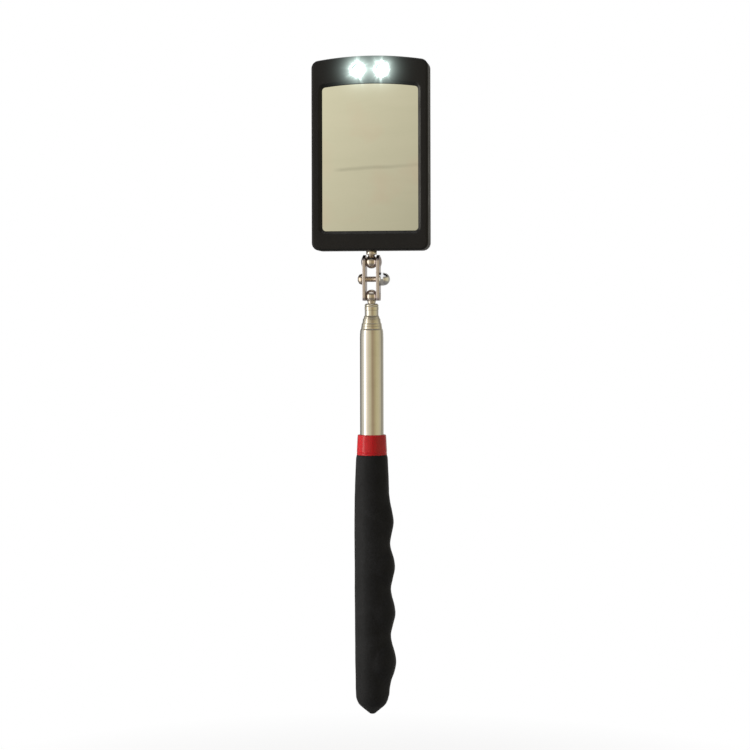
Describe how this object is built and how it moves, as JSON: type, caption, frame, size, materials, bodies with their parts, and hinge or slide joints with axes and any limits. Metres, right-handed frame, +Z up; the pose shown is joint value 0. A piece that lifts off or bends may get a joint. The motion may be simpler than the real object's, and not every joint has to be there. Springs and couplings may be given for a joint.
{
  "type": "telescoping inspection mirror",
  "caption": "Hand-held telescoping shaft with a bumped soft grip and a double ball clamp carrying a rectangular framed mirror with built-in lamps.",
  "frame": {"origin": "on the shaft axis at the blunt bottom tip of the grip, shaft closed", "axes": "+Z up the shaft towards the mirror; the mirror faces -Y; the grip's finger bumps are on +X"},
  "size_m": [0.0522, 0.0158, 0.2931],
  "materials": {
    "grip": "soft matt black foam rubber",
    "collar": "glossy red",
    "tube": "bright nickel plate",
    "bush": "machined brass",
    "plug": "satin",
    "tip": "bright nickel plate",
    "ball": "polished",
    "plate": "nickel plated, lightly brushed",
    "screw": "nickel plated",
    "cap_nut": "polished",
    "housing": "satin black moulded",
    "door": "satin black moulded",
    "mirror": "silvered glass",
    "pad": "white foam",
    "lamp": "clear moulded, lit",
    "lead": "tinned",
    "board": "green lacquered laminate",
    "chip": "black",
    "switch": "black moulded",
    "knob": "black moulded, ribbed",
    "cell": "bright steel can",
    "contact": "nickel plated strip",
    "wire_red": "insulated wire",
    "wire_black": "insulated wire",
    "fastener": "blackened steel"
  },
  "bodies": {
    "handle": {"grip": "grip", "red_collar": "collar", "outer_tube": "tube", "tube_end_plug": "plug"},
    "slider_1": {"section_1_bush": "bush"},
    "section_1": {"section_1_tube": "tube"},
    "section_2": {"section_2_tube": "tube", "section_2_bush": "bush"},
    "section_3": {"section_3_tube": "tube", "section_3_bush": "bush"},
    "section_4": {"section_4_tube": "tube", "section_4_bush": "bush", "tip_fitting": "tip"},
    "lower_ball": {"lower_ball_stud": "ball"},
    "clamp": {"clamp_plate_left": "plate", "clamp_plate_right": "plate", "clamp_screw": "screw", "clamp_washer": "screw", "clamp_cap_nut": "cap_nut"},
    "upper_ball": {"upper_ball_stud": "ball", "stud_washer": "fastener", "stud_nut": "fastener"},
    "mirror_head": {"front_bezel": "housing", "back_shell": "housing", "mirror_glass": "mirror", "mirror_pad": "pad", "led_left": "lamp", "led_right": "lamp", "led_leads": "lead", "circuit_board": "board", "resistors": "chip", "switch_body": "switch", "coin_cell_1": "cell", "coin_cell_2": "cell", "contact_bridge": "contact", "contact_positive": "contact", "contact_negative": "contact", "wire_red": "wire_red", "wire_black": "wire_black", "housing_screws": "fastener"},
    "switch_slider": {"switch_knob": "knob"},
    "door": {"battery_door": "door"}
  },
  "joints": [
    {"name": "extend_section_1", "type": "slide", "parent": "handle", "child": "slider_1", "axis": [0, 0, 1], "range_m": [0, 0.145]},
    {"name": "shaft_turn", "type": "hinge", "parent": "slider_1", "child": "section_1", "pos_m": [0, 0, 0.018], "axis": [0, 0, 1], "continuous": true},
    {"name": "extend_section_2", "type": "slide", "parent": "section_1", "child": "section_2", "axis": [0, 0, 1], "range_m": [0, 0.145]},
    {"name": "extend_section_3", "type": "slide", "parent": "section_2", "child": "section_3", "axis": [0, 0, 1], "range_m": [0, 0.145]},
    {"name": "extend_section_4", "type": "slide", "parent": "section_3", "child": "section_4", "axis": [0, 0, 1], "range_m": [0, 0.145]},
    {"name": "lower_ball_turn", "type": "hinge", "parent": "section_4", "child": "lower_ball", "pos_m": [0, 0, 0.1864], "axis": [0, 0, 1], "continuous": true},
    {"name": "lower_ball_swing", "type": "hinge", "parent": "lower_ball", "child": "clamp", "pos_m": [0, 0, 0.1864], "axis": [1, 0, 0], "range_deg": [-90, 90]},
    {"name": "upper_ball_swing", "type": "hinge", "parent": "clamp", "child": "upper_ball", "pos_m": [0, 0, 0.2017], "axis": [1, 0, 0], "range_deg": [-90, 90]},
    {"name": "head_turn", "type": "hinge", "parent": "upper_ball", "child": "mirror_head", "pos_m": [0, 0, 0.2067], "axis": [0, 0, 1], "range_deg": [-180, 180]},
    {"name": "switch_slide", "type": "slide", "parent": "mirror_head", "child": "switch_slider", "axis": [1, 0, 0], "range_m": [-0.0031, 0]},
    {"name": "battery_door_slide", "type": "slide", "parent": "mirror_head", "child": "door", "axis": [0, 0, 1], "range_m": [-0.028, 0]}
  ]
}
